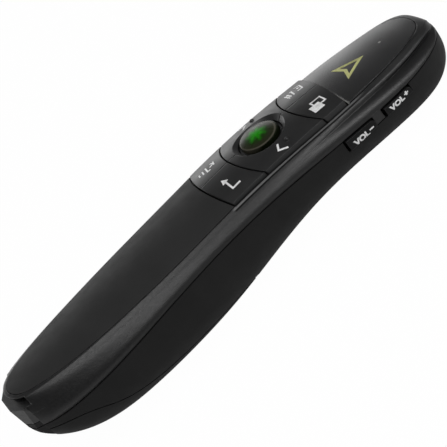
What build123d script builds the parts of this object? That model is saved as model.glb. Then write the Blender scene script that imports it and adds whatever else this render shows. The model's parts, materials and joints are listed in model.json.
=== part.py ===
from build123d import *
import math
import os

# Wireless presentation clicker, in millimetres, lying on a table as it rests there.
# +X points to the nose (the laser end), +Y to the left side, +Z up.
# The origin is on the table, under the middle of the overall box.

# ---------------------------------------------------------------- driving dimensions
TAIL_X = -69.9
NOSE_X = 69.35
NOSE_FLAT_X = 69.15           # the laser window's flat end face
REAR_HALF_WIDTH = 16.4        # widest at the palm
FRONT_HALF_WIDTH = 15.5       # along the keys
REAR_WIDEST_X = -25.0
FRONT_WIDEST_X = 35.0
WALL = 1.8                    # moulded housing wall
PART_GAP = 0.12               # seam between fixed pieces
SEAM_GAP = 0.14               # groove between the two housing halves
SEAM_STEP = 0.08              # the frame stands this far inside the lower shell
KEY_GAP = 0.22                # half of the gap between moving keys

CROWN_CURVATURE = 0.0175      # the top is an arc: drop = curvature * y * y
LENS_CURVATURE = 0.005        # the nose window is flatter
COVER_THICKNESS = 1.2
LENS_THICKNESS = 1.3

COVER_TIP_X = -66.9           # tail end of the palm cover
COVER_HALF_WIDTH = 11.85
OPENING_HALF_WIDTH = 12.1     # rim round the keys and the nose window
OPENING_TIP_X = 66.8

ROW_EDGES = ((-1.05, 1.9), (8.4, 3.9), (27.3, 4.3), (38.0, -0.45))
ROW_EDGE_SPAN = 12.0          # each row edge is an arc: (x on the centre line, bulge)

KEYPAD_X = 18.4               # centre of the laser button
KEYPAD_Z = 24.3
KEYPAD_TILT = 5.6             # the keypad slopes down to the nose, degrees

BATTERY_RADIUS = 5.25         # two AAA cells
BATTERY_LENGTH = 44.5
BATTERY_Y = 5.33
BATTERY_Z = 14.4
BATTERY_TAIL_X = -59.6


# ---------------------------------------------------------------- shape of the body
def blend(points, x):
    """A smooth curve through a few (x, value) points, level beyond its ends."""
    if x <= points[0][0]:
        return points[0][1]
    if x >= points[-1][0]:
        return points[-1][1]
    i = max(k for k in range(len(points) - 1) if points[k][0] <= x)

    def slope(k):
        if k == 0 or k == len(points) - 1:
            a, b = (0, 1) if k == 0 else (k - 1, k)
        else:
            a, b = k - 1, k + 1
        return (points[b][1] - points[a][1]) / (points[b][0] - points[a][0])

    (x0, v0), (x1, v1) = points[i], points[i + 1]
    span = x1 - x0
    t = (x - x0) / span
    rise = (3 - 2 * t) * t * t
    return (v0 * (1 - rise) + v1 * rise
            + span * slope(i) * t * (1 - t) ** 2
            - span * slope(i + 1) * t * t * (1 - t))


def rounded_end(reach, power):
    """Superellipse: 1 at reach 0, falling to 0 at reach 1."""
    reach = min(max(reach, 0.0), 1.0)
    return (1 - reach ** power) ** (1 / power)


def half_width(x):
    """Plan outline of the housing at its seam."""
    if x < REAR_WIDEST_X:
        reach = (REAR_WIDEST_X - x) / (REAR_WIDEST_X - TAIL_X + 0.3)
        return REAR_HALF_WIDTH * rounded_end(reach, 2.6)
    if x > FRONT_WIDEST_X:
        reach = (x - FRONT_WIDEST_X) / (NOSE_X + 0.1 - FRONT_WIDEST_X)
        return FRONT_HALF_WIDTH * rounded_end(reach, 2.8)
    t = (x - REAR_WIDEST_X) / (FRONT_WIDEST_X - REAR_WIDEST_X)
    return REAR_HALF_WIDTH + (FRONT_HALF_WIDTH - REAR_HALF_WIDTH) * (3 - 2 * t) * t * t


def seam_height(x):
    """Where the lower shell meets the upper frame."""
    return blend([(TAIL_X, 17.5), (-60, 17.6), (-45, 18.4), (-30, 19.3), (-15, 19.75),
                  (0, 19.2), (12, 17.9), (30, 15.3), (45, 13.4), (58, 12.3), (NOSE_X, 12.0)], x)


def belly_height(x):
    """Underside on the centre line: palm bulge, finger rest arch, nose."""
    belly_x = -24.0
    chin_x = 56.0
    if x < belly_x:
        return 17.5 * (1 - rounded_end((belly_x - x) / (belly_x - TAIL_X), 2.2)) - 0.3
    if x > chin_x:
        return 9.5 * (1 - rounded_end((x - chin_x) / (NOSE_X - chin_x), 2.2)) - 0.2
    arch = min(abs(x - 19.0) / 38.0, 1.0)
    return 3.5 * math.cos(math.pi / 2 * arch) ** 2 - 0.25


def crown_height(x):
    """Top of the palm cover and of the keys on the centre line."""
    return blend([(TAIL_X, 25.5), (-60, 25.9), (-45, 25.95), (-30, 25.85), (-10, 25.5),
                  (6, 25.2), (20, 24.2), (31, 22.85), (40, 21.45)], x)


def lens_height(x):
    """Top of the nose window on the centre line."""
    return blend([(36, 20.15), (46, 18.85), (56, 17.45), (63, 16.45), (67.5, 15.6)], x)


def rim_height(x):
    """Inner edge of the upper frame round the keys and the nose window."""
    return blend([(-6, 23.0), (8, 22.25), (20, 21.1), (34, 19.2), (42, 18.35), (50, 17.4),
                  (58, 16.5), (65, 15.55), (68, 14.6), (NOSE_X, 13.4)], x)


def rim_half_width(x):
    """Where the frame's top meets the shoulder facet, in plan."""
    if x < -8:
        return 12.15 * rounded_end((-8 - x) / (-8 - TAIL_X + 0.3), 2.5)
    return 12.2 * rounded_end((x - 5) / (NOSE_X + 0.15 - 5), 2.9)


def ridge(x):
    """Outer edge of the shoulder facet: (y, z)."""
    share = blend([(TAIL_X, 0.78), (-55, 0.805), (-30, 0.85), (0, 0.862), (20, 0.853),
                   (40, 0.81), (60, 0.765), (NOSE_X, 0.75)], x)
    height = blend([(TAIL_X, 23.0), (-60, 23.1), (-44, 22.45), (-30, 21.9), (-10, 21.75),
                    (5, 21.45), (19, 20.75), (29, 19.6), (38.5, 18.2), (48.5, 16.85),
                    (56, 15.9), (63, 15.1), (67.0, 14.2), (NOSE_X, 13.0)], x)
    return half_width(x) * share, height


def body_stations():
    """Section positions: close together where the ends round off."""
    middle = [-54, -42, -28, -12, 4, 20, 36, 47]
    tail = [TAIL_X + d for d in (0.0, 0.5, 1.7, 4.2, 8.6)]
    nose = [NOSE_X - d for d in (14.5, 8.0, 3.8, 1.5, 0.4, 0.0)]
    return tail + middle + nose


def section_plane(x):
    return Plane(origin=(x, 0, 0), x_dir=(0, 1, 0), z_dir=(1, 0, 0))


def section_face(x, edges):
    """A closed section at x from edges drawn in (y, z)."""
    return section_plane(x) * make_face(edges)


def mirrored(edges):
    return edges + [mirror(e, Plane.YZ) for e in edges]


def belly_side(x, w, top, low):
    """One side of a section, from the seam round to the middle of the belly."""
    full = blend([(-69, 0.6), (-58, 0.86), (-45, 0.79), (-15, 0.75), (30, 0.75), (40, 0.66),
                  (50, 0.68), (60, 0.78)], x)
    return Bezier((w, top), (w, top - 0.69 * (top - low)), (full * w, low), (0, low))


def lower_section(x, inset):
    """Seam line above, a full belly below."""
    w = half_width(x) - inset
    top = seam_height(x)
    low = belly_height(x) + inset
    return section_face(x, mirrored([belly_side(x, w, top, low)]) + [Line((-w, top), (w, top))])


def towards(start, end, share):
    return start[0] + share * (end[0] - start[0]), start[1] + share * (end[1] - start[1])


def upper_section(x):
    """Crowned top, shoulder facet, rounded ridge, crease and side down to the seam."""
    w = half_width(x) - SEAM_STEP
    base = seam_height(x) + SEAM_GAP
    top_edge = ridge(x)
    ey = min(rim_half_width(x), top_edge[0] - 0.3)
    ez = rim_height(x) if x > -6 else crown_height(x) - CROWN_CURVATURE * ey * ey
    rim = (ey, ez)
    front = blend([(20, 0.0), (40, 1.0)], x)
    tip = blend([(65, 0.0), (68.5, 1.0)], x)
    drop = top_edge[1] - base
    flare = w - top_edge[0]
    crease = (top_edge[0] + (1 - front) * 0.42 * flare + front * ((1 - tip) * 0.3 + tip * 0.45 * flare),
              top_edge[1] - (1 - front) * 0.33 * drop - front * min(1.1, 0.42 * drop))
    start = towards(top_edge, rim, 0.5 - 0.3 * front)
    end = towards(top_edge, crease, 0.85 - 0.45 * front)
    depth = blend([(12, 0.03), (36, 0.05), (44, 0.15), (54, 0.5), (63, 0.8), (66.5, 0.5), (68.5, 0.05)], x)
    notch = (crease[0] - depth, crease[1] - 0.25 * depth)
    lip = (crease[0] + 0.1, crease[1] - 0.5 * depth)
    bulge = (lip[0] + (0.42 + 0.2 * front) * (w - lip[0]),
             lip[1] - (0.28 - 0.14 * front) * (lip[1] - base))
    side = Bezier(lip, bulge, (w, base + 0.45 * (lip[1] - base)), (w, base))
    half = [Line(rim, start), Bezier(start, top_edge, end), Line(end, notch), Line(notch, lip), side]
    top = ThreePointArc((-ey, ez), (0, ez + CROWN_CURVATURE * ey * ey), (ey, ez))
    return section_face(x, [top] + mirrored(half) + [Line((-w, base), (w, base))])


def lower_body(inset=0.0):
    stations = body_stations()
    if inset:
        stations = [x for x in stations if TAIL_X + inset < x < NOSE_X - inset]
    return loft([lower_section(x, inset) for x in stations])


def upper_body():
    return loft([upper_section(x) for x in body_stations()])


def lower_hollow(inset, rise):
    """The lower body's inside: inset walls, its top raised above the seam."""
    def face(x):
        w = half_width(x) - inset
        top = seam_height(x)
        low = belly_height(x) + inset
        edges = mirrored([belly_side(x, w, top, low), Line((w, top), (w, top + rise))])
        return section_face(x, edges + [Line((-w, top + rise), (w, top + rise))])

    return loft([face(x) for x in body_stations() if TAIL_X + 3 < x < NOSE_X - 1])


def upper_hollow():
    """Room above the seam, under the deck that carries the cover, keys and window."""
    def deck(x):
        return blend([(-64, 22.3), (-56, 23.2), (-45, 23.2), (-30, 23.0), (-10, 22.55), (6, 22.1),
                      (20, 21.0), (31, 19.5), (38, 17.9), (44, 16.6), (56, 15.1), (64, 13.9)], x)

    def face(x):
        w = half_width(x) - WALL
        base = seam_height(x)
        y = ridge(x)[0] - 1.5
        top = deck(x)
        low = top - CROWN_CURVATURE * y * y
        half = [Line((w, base - 2), (w, base + 0.2)), Line((w, base + 0.2), (y, low))]
        arc = ThreePointArc((-y, low), (0, top), (y, low))
        return section_face(x, [arc] + mirrored(half) + [Line((-w, base - 2), (w, base - 2))])

    return loft([face(x) for x in (-64.8, -58, -48, -36, -22, -8, 6, 20, 34, 44, 54, 60, 64)])


def arc_slab(height, curvature, half_span, thickness, stations):
    """A curved slab under height(x), wider than any piece that is cut from it."""
    def face(x):
        drop = curvature * half_span * half_span
        top = height(x)
        low = top - thickness
        return section_face(x, [
            ThreePointArc((-half_span, top - drop), (0, top), (half_span, top - drop)),
            Line((half_span, top - drop), (half_span, low - drop)),
            ThreePointArc((half_span, low - drop), (0, low), (-half_span, low - drop)),
            Line((-half_span, low - drop), (-half_span, top - drop))])

    return loft([face(x) for x in stations])


# ---------------------------------------------------------------- plan outlines
def tip_curve(start_x, tip_x, width, power):
    """Half a superellipse in plan, from +width round the tip to -width."""
    points = []
    for degrees in range(-90, 91, 15):
        turn = math.radians(degrees)
        along = math.cos(turn) ** (2 / power) if abs(degrees) < 90 else 0.0
        across = math.copysign(abs(math.sin(turn)) ** (2 / power), -turn) if degrees else 0.0
        points.append((start_x + (tip_x - start_x) * along, width * across))
    forward = 1 if tip_x > start_x else -1
    return Spline(points, tangents=[(forward, 0), (-forward, 0)])


def row_arc(row, shift, reach=14.0):
    """The edge between two rows: a shallow arc across the top, moved by shift."""
    x, bulge = ROW_EDGES[row]
    end = x + shift + bulge * (reach / ROW_EDGE_SPAN) ** 2
    return ThreePointArc((end, reach), (x + shift, 0), (end, -reach))


def rows(first, last, gap):
    """Plan strip between two row edges; None leaves that end open."""
    a = Line((-90, 14), (-90, -14)) if first is None else row_arc(first, gap)
    b = Line((90, 14), (90, -14)) if last is None else row_arc(last, -gap)
    return make_face([a, Line(a @ 1, b @ 1), b, Line(b @ 0, a @ 0)])


def prism(face, low=-5.0, high=40.0):
    return extrude(Pos(0, 0, low) * face, high - low)


def cover_outline(grow):
    """Plan of the palm cover's tapering end, open towards the keys."""
    start = -8.0
    w = COVER_HALF_WIDTH + grow
    tip = tip_curve(start, COVER_TIP_X - grow, w, 2.5)
    return make_face([tip, Line((start, -w), (8, -w)), Line((8, -w), (8, w)), Line((8, w), (start, w))])


def opening_outline(grow):
    """Plan of the opening for the keys and the nose window."""
    start = 5.0
    w = OPENING_HALF_WIDTH + grow
    tip = tip_curve(start, OPENING_TIP_X + grow, w, 3.0)
    return make_face([tip, Line((start, -w), (-8, -w)), Line((-8, -w), (-8, w)), Line((-8, w), (start, w))])


def side_region(points_top, points_low):
    """An area drawn in (x, z), extruded across the body by across()."""
    top = Spline(points_top) if len(points_top) > 2 else Line(*points_top)
    low = Spline(points_low) if len(points_low) > 2 else Line(*points_low)
    return make_face([top, Line(top @ 1, low @ 1), low, Line(low @ 0, top @ 0)])


def across(face, y0, y1):
    """Extrude an (x, z) area from y0 to y1."""
    return extrude(Plane(origin=(0, y1, 0), x_dir=(1, 0, 0), z_dir=(0, -1, 0)) * face, y1 - y0)


# ---------------------------------------------------------------- keypad geometry
KEYPAD = Plane(origin=(KEYPAD_X, 0, KEYPAD_Z),
               x_dir=(math.cos(math.radians(KEYPAD_TILT)), 0, -math.sin(math.radians(KEYPAD_TILT))),
               z_dir=(math.sin(math.radians(KEYPAD_TILT)), 0, math.cos(math.radians(KEYPAD_TILT))))
LIP_DEPTH = 5.1               # the frame's lip ends this far under the keypad plane
FLANGE = (-6.0, -5.15)        # the keys' retaining flange
SWITCH = (-9.8, -6.8)         # switch bodies on the board
BOARD = (-11.0, -9.8)
PLUNGER = (-8.1, -6.0)
KEY_SWITCH_POINTS = {"tab_key": (4.9, 6.0), "enter_key": (4.9, -6.0),
                     "next_key": (20.5, 8.6), "previous_key": (20.5, -8.6),
                     "blank_screen_key": (33.0, 5.6), "window_switch_key": (33.0, -5.6)}
KEY_ROWS = {"tab_key": 0, "enter_key": 0, "next_key": 1, "previous_key": 1,
            "blank_screen_key": 2, "window_switch_key": 2}
BUTTON_RADIUS = 5.25
COLLAR = (5.35, 6.0)          # ring round the laser button, inner and outer radius


def keypad_disc(x, y, radius, low, high):
    """A disc standing on the keypad plane's normal."""
    return KEYPAD * (Pos(x - KEYPAD_X, y, low) * Cylinder(
        radius, high - low, align=(Align.CENTER, Align.CENTER, Align.MIN)))


def keypad_box(x0, x1, half_y, low, high):
    box = Box(x1 - x0, 2 * half_y, high - low, align=(Align.MIN, Align.CENTER, Align.MIN))
    return KEYPAD * (Pos(x0 - KEYPAD_X, 0, low) * box)


def key_block(drop, inset):
    """The crowned, slope-sided block that all the keys are cut from."""
    proud = 0.25

    def face(x):
        top = crown_height(x) + proud - drop
        w = OPENING_HALF_WIDTH * rounded_end((x - 5) / (OPENING_TIP_X - 5), 3.0) - inset
        edge = w - 0.85
        skirt = w - 0.5
        low = top - CROWN_CURVATURE * edge * edge
        half = [Line((edge, low), (skirt, low - 1.6)), Line((skirt, low - 1.6), (skirt, low - 9))]
        arc = ThreePointArc((-edge, low), (0, top), (edge, low))
        return section_face(x, [arc] + mirrored(half) + [Line((-skirt, low - 9), (skirt, low - 9))])

    return loft([face(x) for x in (-4, 4, 12, 20, 28, 35, 42)])


def key(name, block, hollow_block):
    """One key: crowned top, hollow inside, with a flange and a boss over its switch."""
    row = KEY_ROWS[name]
    x, y = KEY_SWITCH_POINTS[name]
    side = 1 if y > 0 else -1
    half = Pos(0, side * (7.5 + KEY_GAP / 2)) * Rectangle(200, 15)
    inner_half = Pos(0, side * (7.5 + 1.2)) * Rectangle(200, 15)
    region = rows(row, row + 1, KEY_GAP) & half
    top = block & prism(region) & keypad_box(-10, 50, 15, FLANGE[0], 5)
    inner = hollow_block & prism(rows(row, row + 1, 1.3) & inner_half)
    inner = inner & keypad_box(-10, 50, 15, FLANGE[0] - 1, 5)
    body = top - inner
    flange_plan = rows(row, row + 1, KEY_GAP) & half & opening_outline(0.5)
    flange = prism(flange_plan) & keypad_box(-10, 50, 15, *FLANGE)
    flange = flange - prism(rows(row, row + 1, 1.3) & inner_half & opening_outline(-1.6))
    boss = keypad_disc(x, y, 1.9, FLANGE[0], 2) & block
    body = body + flange + boss
    if row == 1:
        body = body - keypad_disc(KEYPAD_X, 0, COLLAR[1] + 0.15, -12, 5) - finger_dish()
        nub = Pos(21.2, side * 8.6, crown_height(21.2) + 0.25 - CROWN_CURVATURE * 8.6 ** 2) * Sphere(0.62)
        body = body + nub
    return body


def finger_dish():
    """The cone that leads the finger down to the laser button."""
    rise = 4.0
    return KEYPAD * (Pos(0, 0, -1.0) * Cone(COLLAR[1] + 0.15, COLLAR[1] + 0.15 + rise / 0.9, rise,
                                            align=(Align.CENTER, Align.CENTER, Align.MIN)))


# ---------------------------------------------------------------- housing pieces
COVER_STATIONS = (-71, -60, -48, -36, -24, -12, 0, 6)
DOOR_FRONT_X = -7.0
BAY_CEILING = 20.6
TAIL_STEP_X = -66.4


def tail_block(low, high):
    """The tail's end with its two corner facets, as a vertical prism."""
    x0, x1, x2 = TAIL_X + 0.1, -67.15, TAIL_STEP_X
    side = [(x0, 3.0), (x1, 7.05), (x2, 7.35), (-60, 7.35)]
    points = side + [(x, -y) for x, y in reversed(side)]
    return prism(make_face(Polyline(points, close=True)), low, high)


def tail_corners():
    """Cuts the corner facets, and the step that each leaves in the side wall."""
    top = Vector(-67.15, -7.05, SHELF_Z)
    low = Vector(-68.0, -5.6, 17.7)
    inner = Vector(TAIL_STEP_X, -6.6, 17.7)
    slant = Plane(origin=top, z_dir=(low - top).cross(inner - top))
    wedge = slant * Box(60, 60, 30, align=(Align.CENTER, Align.CENTER, Align.MIN))
    right = (block(-80, TAIL_STEP_X, -20, 0, 0, 40) - tail_block(-1, 41)) + (
        wedge & block(-80, TAIL_STEP_X, -20, -1, 0, SHELF_Z + 1))
    return right + mirror(right, Plane.XZ)


def door_region(gap):
    """Side view of the battery door: a long sweep up to the tail."""
    edge = [(-75, 15.3 + gap), (-62, 15.1 + gap), (-56.3, 13.5 + gap), (-50, 10.0 + gap), (-43, 7.3 + gap),
            (-33, 5.4 + gap), (-20, 4.6 + gap), (DOOR_FRONT_X + gap, 4.4 + gap)]
    return side_region(edge, [(-75, -3), (DOOR_FRONT_X + gap, -3)])


def volume_band(grow):
    """Side view of the strip that holds the two volume keys."""
    x0, x1 = 29.6 - grow, 51.4 + grow
    low = 11.95 - 0.065 * (x0 - 30) - grow
    return side_region([(x0, 22), (x1, 22)], [(x0, low), (x1, low - 0.065 * (x1 - x0))])


def table_trim():
    """Everything under the table plane, and past the nose's flat end."""
    under = Pos(0, 0, -5) * Box(200, 60, 10)
    ahead = Pos(NOSE_FLAT_X + 5, 0, 10) * Box(10, 40, 40)
    return under + ahead


def battery_room(x0, x1):
    """Two cell channels side by side, open downwards."""
    radius = BATTERY_RADIUS + 0.25
    mouth = BATTERY_Z + 4
    channel = Pos(BATTERY_Y, 0) * Circle(radius) + Pos(-BATTERY_Y, 0) * Circle(radius)
    channel = channel + Pos(0, -mouth / 2) * Rectangle(2 * (BATTERY_Y + radius), mouth)
    return extrude(Plane(origin=(x0, 0, BATTERY_Z), x_dir=(0, 1, 0), z_dir=(1, 0, 0)) * channel, x1 - x0)


def receiver_room():
    return block(-13.8, -7.6, -9.6, 9.6, -4, 17.7)


def bay_tub():
    """Walls and ceiling of the battery bay and the receiver bay."""
    side = [(-64.5, 8.4), (-61, 10.2), (-54, 11.9), (-40, 12.6)]
    other = [(x, -y) for x, y in side]
    plan = make_face([Spline(side), Line((-40, 12.6), (-6.7, 12.6)), Line((-6.7, 12.6), (-6.7, -12.6)),
                      Line((-6.7, -12.6), (-40, -12.6)), Spline(other), Line((-64.5, -8.4), (-64.5, 8.4))])
    walls = prism(plan, 3.2, 30) & lower_hollow(WALL - 0.1, 0.05)
    ceiling = block(-58, -6.7, -9.2, 9.2, 16.5, BAY_CEILING) + block(-61.5, -57.9, -8, 8, 16.5, BAY_CEILING)
    return walls + ceiling - battery_room(-63.2, -14.7)


def tube_along_x(x0, x1, y, z, radius):
    return extrude(Plane(origin=(x0, y, z), x_dir=(0, 1, 0), z_dir=(1, 0, 0)) * Circle(radius), x1 - x0)


def block(x0, x1, y0, y1, z0, z1):
    return Pos(x0, y0, z0) * Box(x1 - x0, y1 - y0, z1 - z0, align=(Align.MIN, Align.MIN, Align.MIN))


LASER_Z = 9.2
LASER_RADIUS = 3.2
LASER_X = (48.0, 67.4)
BEZEL_RADIUS = 2.3
SHELF_Z = 23.3                # lanyard shelf round the tail
SHELF_FRONT_X = -64.8
LANYARD_POST = (-66.3, 1.2)   # x and radius
SLIDER_X = (35.0, 39.0)       # power switch knob at rest (off)
SLIDER_TRAVEL = 3.0
SLIDER_Z = (9.2, 11.4)
LED_X = 56.9
BOARD_POSTS = ((-2.0, 8.5), (-2.0, -8.5), (43.5, 5.6), (43.5, -5.6))
SCREW_XS = (-50.0, -24.0)


def lower_shell():
    skin = lower_body() - lower_hollow(WALL, 3)
    skin = skin - across(door_region(PART_GAP), -20, 20) - across(volume_band(PART_GAP), -20, -10)
    shell = skin - battery_room(-59.9, -14.7) + bay_tub() - receiver_room()
    for x, y in BOARD_POSTS:
        post = keypad_disc(x, y, 1.8, -26, BOARD[0] - 0.05) & lower_hollow(WALL - 0.1, 3)
        shell = shell + post
    for x in (52.0, 61.5):
        saddle = block(x, x + 2.4, -4.6, 4.6, 0, LASER_Z) & lower_hollow(WALL - 0.1, 1)
        shell = shell + saddle
    shell = shell - tube_along_x(40, LASER_X[1] + 0.1, 0, LASER_Z, LASER_RADIUS + 0.05)
    shell = shell - tube_along_x(60, 80, 0, LASER_Z, BEZEL_RADIUS + 0.05)
    slot_x0 = SLIDER_X[0] - 0.25
    slot_x1 = SLIDER_X[1] + SLIDER_TRAVEL + 0.25
    shell = shell - block(slot_x0, slot_x1, 10, 20, SLIDER_Z[0] - 0.2, SLIDER_Z[1] + 0.2)
    for x in SCREW_XS:
        shell = shell - Pos(x, 0, BAY_CEILING) * Cylinder(0.95, 6) - Pos(x, 0, 16.6) * Cylinder(1.8, 5.9)
    finger_notch = block(DOOR_FRONT_X, DOOR_FRONT_X + 1.1, -20, 20, -1, 4.3) - lower_body(0.5)
    return shell - finger_notch - tail_corners() - table_trim()


def battery_door():
    skin = lower_body() - lower_hollow(1.4, 3)
    return (skin & across(door_region(-PART_GAP), -20, 20)) - tail_corners() - table_trim()


def tail_step():
    """Cuts the lanyard shelf and the gap under the rim, round a post."""
    above = block(-80, SHELF_FRONT_X, -20, 20, SHELF_Z, 40) - prism(cover_outline(1.05))
    gap = block(-80, SHELF_FRONT_X, -20, 20, SHELF_Z, crown_height(COVER_TIP_X) - COVER_THICKNESS + 0.35)
    post = Pos(LANYARD_POST[0], 0, SHELF_Z) * Cylinder(LANYARD_POST[1], 10)
    return above + (gap - post)


def upper_frame():
    cover_tool = arc_slab(lambda x: crown_height(x) + 8, CROWN_CURVATURE, 13,
                          8 + COVER_THICKNESS + 0.05, COVER_STATIONS)
    window_tool = arc_slab(lambda x: lens_height(x) + 8, LENS_CURVATURE, 13,
                           8 + LENS_THICKNESS + 0.05, (36, 42, 48, 54, 60, 66, 70))
    frame = upper_body() - upper_hollow()
    frame = frame - (cover_tool & prism(cover_outline(PART_GAP) & rows(None, 0, 0)))
    frame = frame - prism(opening_outline(0) & rows(0, 3, -0.3 * PART_GAP))
    frame = frame - (window_tool & prism(opening_outline(0) & rows(3, None, 0)))
    frame = frame - (keypad_box(-1.0, 38.2, 12.95, -9, -LIP_DEPTH) & prism(opening_outline(0.85)))
    shelf = tail_block(seam_height(TAIL_X) + SEAM_GAP, SHELF_Z) & block(-80, TAIL_STEP_X, -20, 20, 0, 40)
    frame = frame + shelf - tail_corners() - tail_step()
    frame = frame - Pos(LED_X, 0, 15) * Cylinder(1.65, 8)
    frame = frame - tube_along_x(40, LASER_X[1] + 0.1, 0, LASER_Z, LASER_RADIUS + 0.05)
    tab = (lower_hollow(SEAM_STEP, 0.5) - lower_hollow(WALL, 3)) & across(volume_band(0), -20, -10)
    tab = tab & block(39.05, 41.85, -20, -10, 5, 20)
    frame = frame + tab
    for x in SCREW_XS:
        boss = Pos(x, 0, BAY_CEILING + 0.05) * Cylinder(2.4, 5, align=(Align.CENTER, Align.CENTER, Align.MIN))
        pilot = Pos(x, 0, BAY_CEILING) * Cylinder(0.85, 4, align=(Align.CENTER, Align.CENTER, Align.MIN))
        frame = frame + (boss & prism(Rectangle(200, 20), 0, crown_height(x) - COVER_THICKNESS - 0.3)) - pilot
    return frame - table_trim()


def palm_cover():
    slab = arc_slab(crown_height, CROWN_CURVATURE, 13, COVER_THICKNESS, COVER_STATIONS)
    return slab & prism(cover_outline(0) & rows(None, 0, KEY_GAP))


def nose_window():
    slab = arc_slab(lens_height, LENS_CURVATURE, 13, LENS_THICKNESS, (36, 42, 48, 54, 60, 66, 70))
    return slab & prism(opening_outline(-PART_GAP - 0.1) & rows(3, None, PART_GAP))


# ---------------------------------------------------------------- volume keys and slide switch
def side_skin(outer, inner):
    """A layer of the lower body between two insets."""
    return lower_body(outer) - lower_hollow(inner, 3)


VOLUME_KEYS = {"volume_down_key": (30.05, 38.8), "volume_up_key": (42.5, 51.1)}
SIDE_SWITCH_Y = (-11.6, -10.6)


def stem_height(x):
    return 13.2 - 0.09 * (x - 34.3)


def volume_key(name, cap_layer, flange_layer):
    x0, x1 = VOLUME_KEYS[name]

    def region(grow):
        xs = (x0 - grow, (x0 + x1) / 2, x1 + grow)
        top = [(x, seam_height(x) - PART_GAP + grow) for x in xs]
        low = [(x, 12.05 - 0.065 * (x - 30) - grow) for x in (xs[0], xs[2])]
        return side_region(top, low)

    outline = region(0)
    nose_corner = outline.vertices().group_by(Axis.X)[-1].sort_by(Axis.Y)[-1]
    cap = cap_layer & across(fillet(nose_corner, 0.9), -20, -10)
    flange = flange_layer & across(region(0.55), -20, -10)
    stem_x = (x0 + x1) / 2
    stem_z = stem_height(stem_x)
    stem = extrude(Plane(origin=(stem_x, -13.6, stem_z), x_dir=(1, 0, 0), z_dir=(0, 1, 0)) * Circle(1.0),
                   13.6 + SIDE_SWITCH_Y[0] - 0.45)
    return cap + flange + stem


def side_plunger(name):
    x0, x1 = VOLUME_KEYS[name]
    stem_x = (x0 + x1) / 2
    stem_z = stem_height(stem_x)
    return extrude(Plane(origin=(stem_x, SIDE_SWITCH_Y[0] - 0.45, stem_z), x_dir=(1, 0, 0),
                         z_dir=(0, 1, 0)) * Circle(0.8), 1.0)


def side_switches():
    bodies = []
    for x0, x1 in VOLUME_KEYS.values():
        stem_x = (x0 + x1) / 2
        stem_z = stem_height(stem_x)
        body = block(stem_x - 2.2, stem_x + 2.2, *SIDE_SWITCH_Y, stem_z - 1.5, stem_z + 1.5)
        hole = extrude(Plane(origin=(stem_x, SIDE_SWITCH_Y[0] - 1, stem_z), x_dir=(1, 0, 0),
                             z_dir=(0, 1, 0)) * Circle(0.9), 1.95)
        bodies.append(body - hole)
    return Compound(bodies)


def side_board():
    return block(31.0, 50.0, SIDE_SWITCH_Y[1], SIDE_SWITCH_Y[1] + 0.8, 9.8, 13.4)


def power_slider():
    """Knob outside, stem through the slot, and a skirt that hides the slot."""
    x0, x1 = SLIDER_X
    z0, z1 = SLIDER_Z
    knob = block(x0, x1, 10.6, 15.6, z0, z1)
    for i in range(4):
        knob = knob - block(x0 + 0.55 + 0.8 * i, x0 + 0.95 + 0.8 * i, 15.3, 17, z0 - 1, z1 + 1)
    skirt = block(x0 - 3.6, x1 + 0.6, 11.2, 11.7, z0 - 0.7, z1 + 0.5)
    return knob + skirt


def power_switch_body():
    x0, x1 = SLIDER_X
    z0, z1 = SLIDER_Z
    body = block(x0 - 2.5, x1 + 5.5, 8.4, 11.1, z0 - 0.9, z1 + 0.9)
    channel = block(x0 - 0.3, x1 + SLIDER_TRAVEL + 0.3, 10.4, 12, z0 - 0.15, z1 + 0.15)
    return body - channel


# ---------------------------------------------------------------- inside
def circuit_board():
    plan = Pos(11.0 - KEYPAD_X, 0) * Rectangle(32, 22.4)
    front = Pos(36.5 - KEYPAD_X, -0.75) * Rectangle(19, 17.9)
    board = extrude(Pos(0, 0, BOARD[0]) * (plan + front), BOARD[1] - BOARD[0])
    return KEYPAD * board


def key_switches():
    bodies = []
    for x, y in list(KEY_SWITCH_POINTS.values()) + [(KEYPAD_X, 0)]:
        body = Pos(x - KEYPAD_X, y, SWITCH[0]) * Box(4.4, 4.4, SWITCH[1] - SWITCH[0],
                                                     align=(Align.CENTER, Align.CENTER, Align.MIN))
        bodies.append(KEYPAD * body - keypad_disc(x, y, 1.3, SWITCH[0] + 0.8, 0))
    return Compound(bodies)


def key_plunger(x, y):
    return keypad_disc(x, y, 1.2, *PLUNGER)


def button_collar():
    return keypad_disc(KEYPAD_X, 0, COLLAR[1], BOARD[1], -1.3) - keypad_disc(KEYPAD_X, 0, COLLAR[0], -20, 5)


def laser_button():
    """Clear domed cap with a thin skirt."""
    rise = 0.95
    ball = (BUTTON_RADIUS ** 2 + rise ** 2) / (2 * rise)
    dome = Pos(0, 0, rise - 0.1 - ball) * Sphere(ball)
    cap = Pos(0, 0, FLANGE[0]) * Cylinder(BUTTON_RADIUS, 8, align=(Align.CENTER, Align.CENTER, Align.MIN)) & dome
    well = Pos(0, 0, FLANGE[0] - 1) * Cylinder(4.45, 1 - FLANGE[0] - 0.75,
                                               align=(Align.CENTER, Align.CENTER, Align.MIN))
    return KEYPAD * (cap - well)


def button_light_guide():
    """Green disc under the clear cap, on a post over the switch."""
    disc = keypad_disc(KEYPAD_X, 0, 4.4, -2.6, -0.8)
    post = keypad_disc(KEYPAD_X, 0, 2.0, PLUNGER[1], -2.6)
    return disc + post


def laser_module():
    barrel = tube_along_x(LASER_X[0], LASER_X[1], 0, LASER_Z, LASER_RADIUS)
    bore = tube_along_x(LASER_X[1] - 3.0, LASER_X[1] + 1, 0, LASER_Z, 2.1)
    return barrel - bore


def laser_lens():
    return tube_along_x(LASER_X[1] - 2.4, LASER_X[1] - 0.9, 0, LASER_Z, 2.08)


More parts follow.
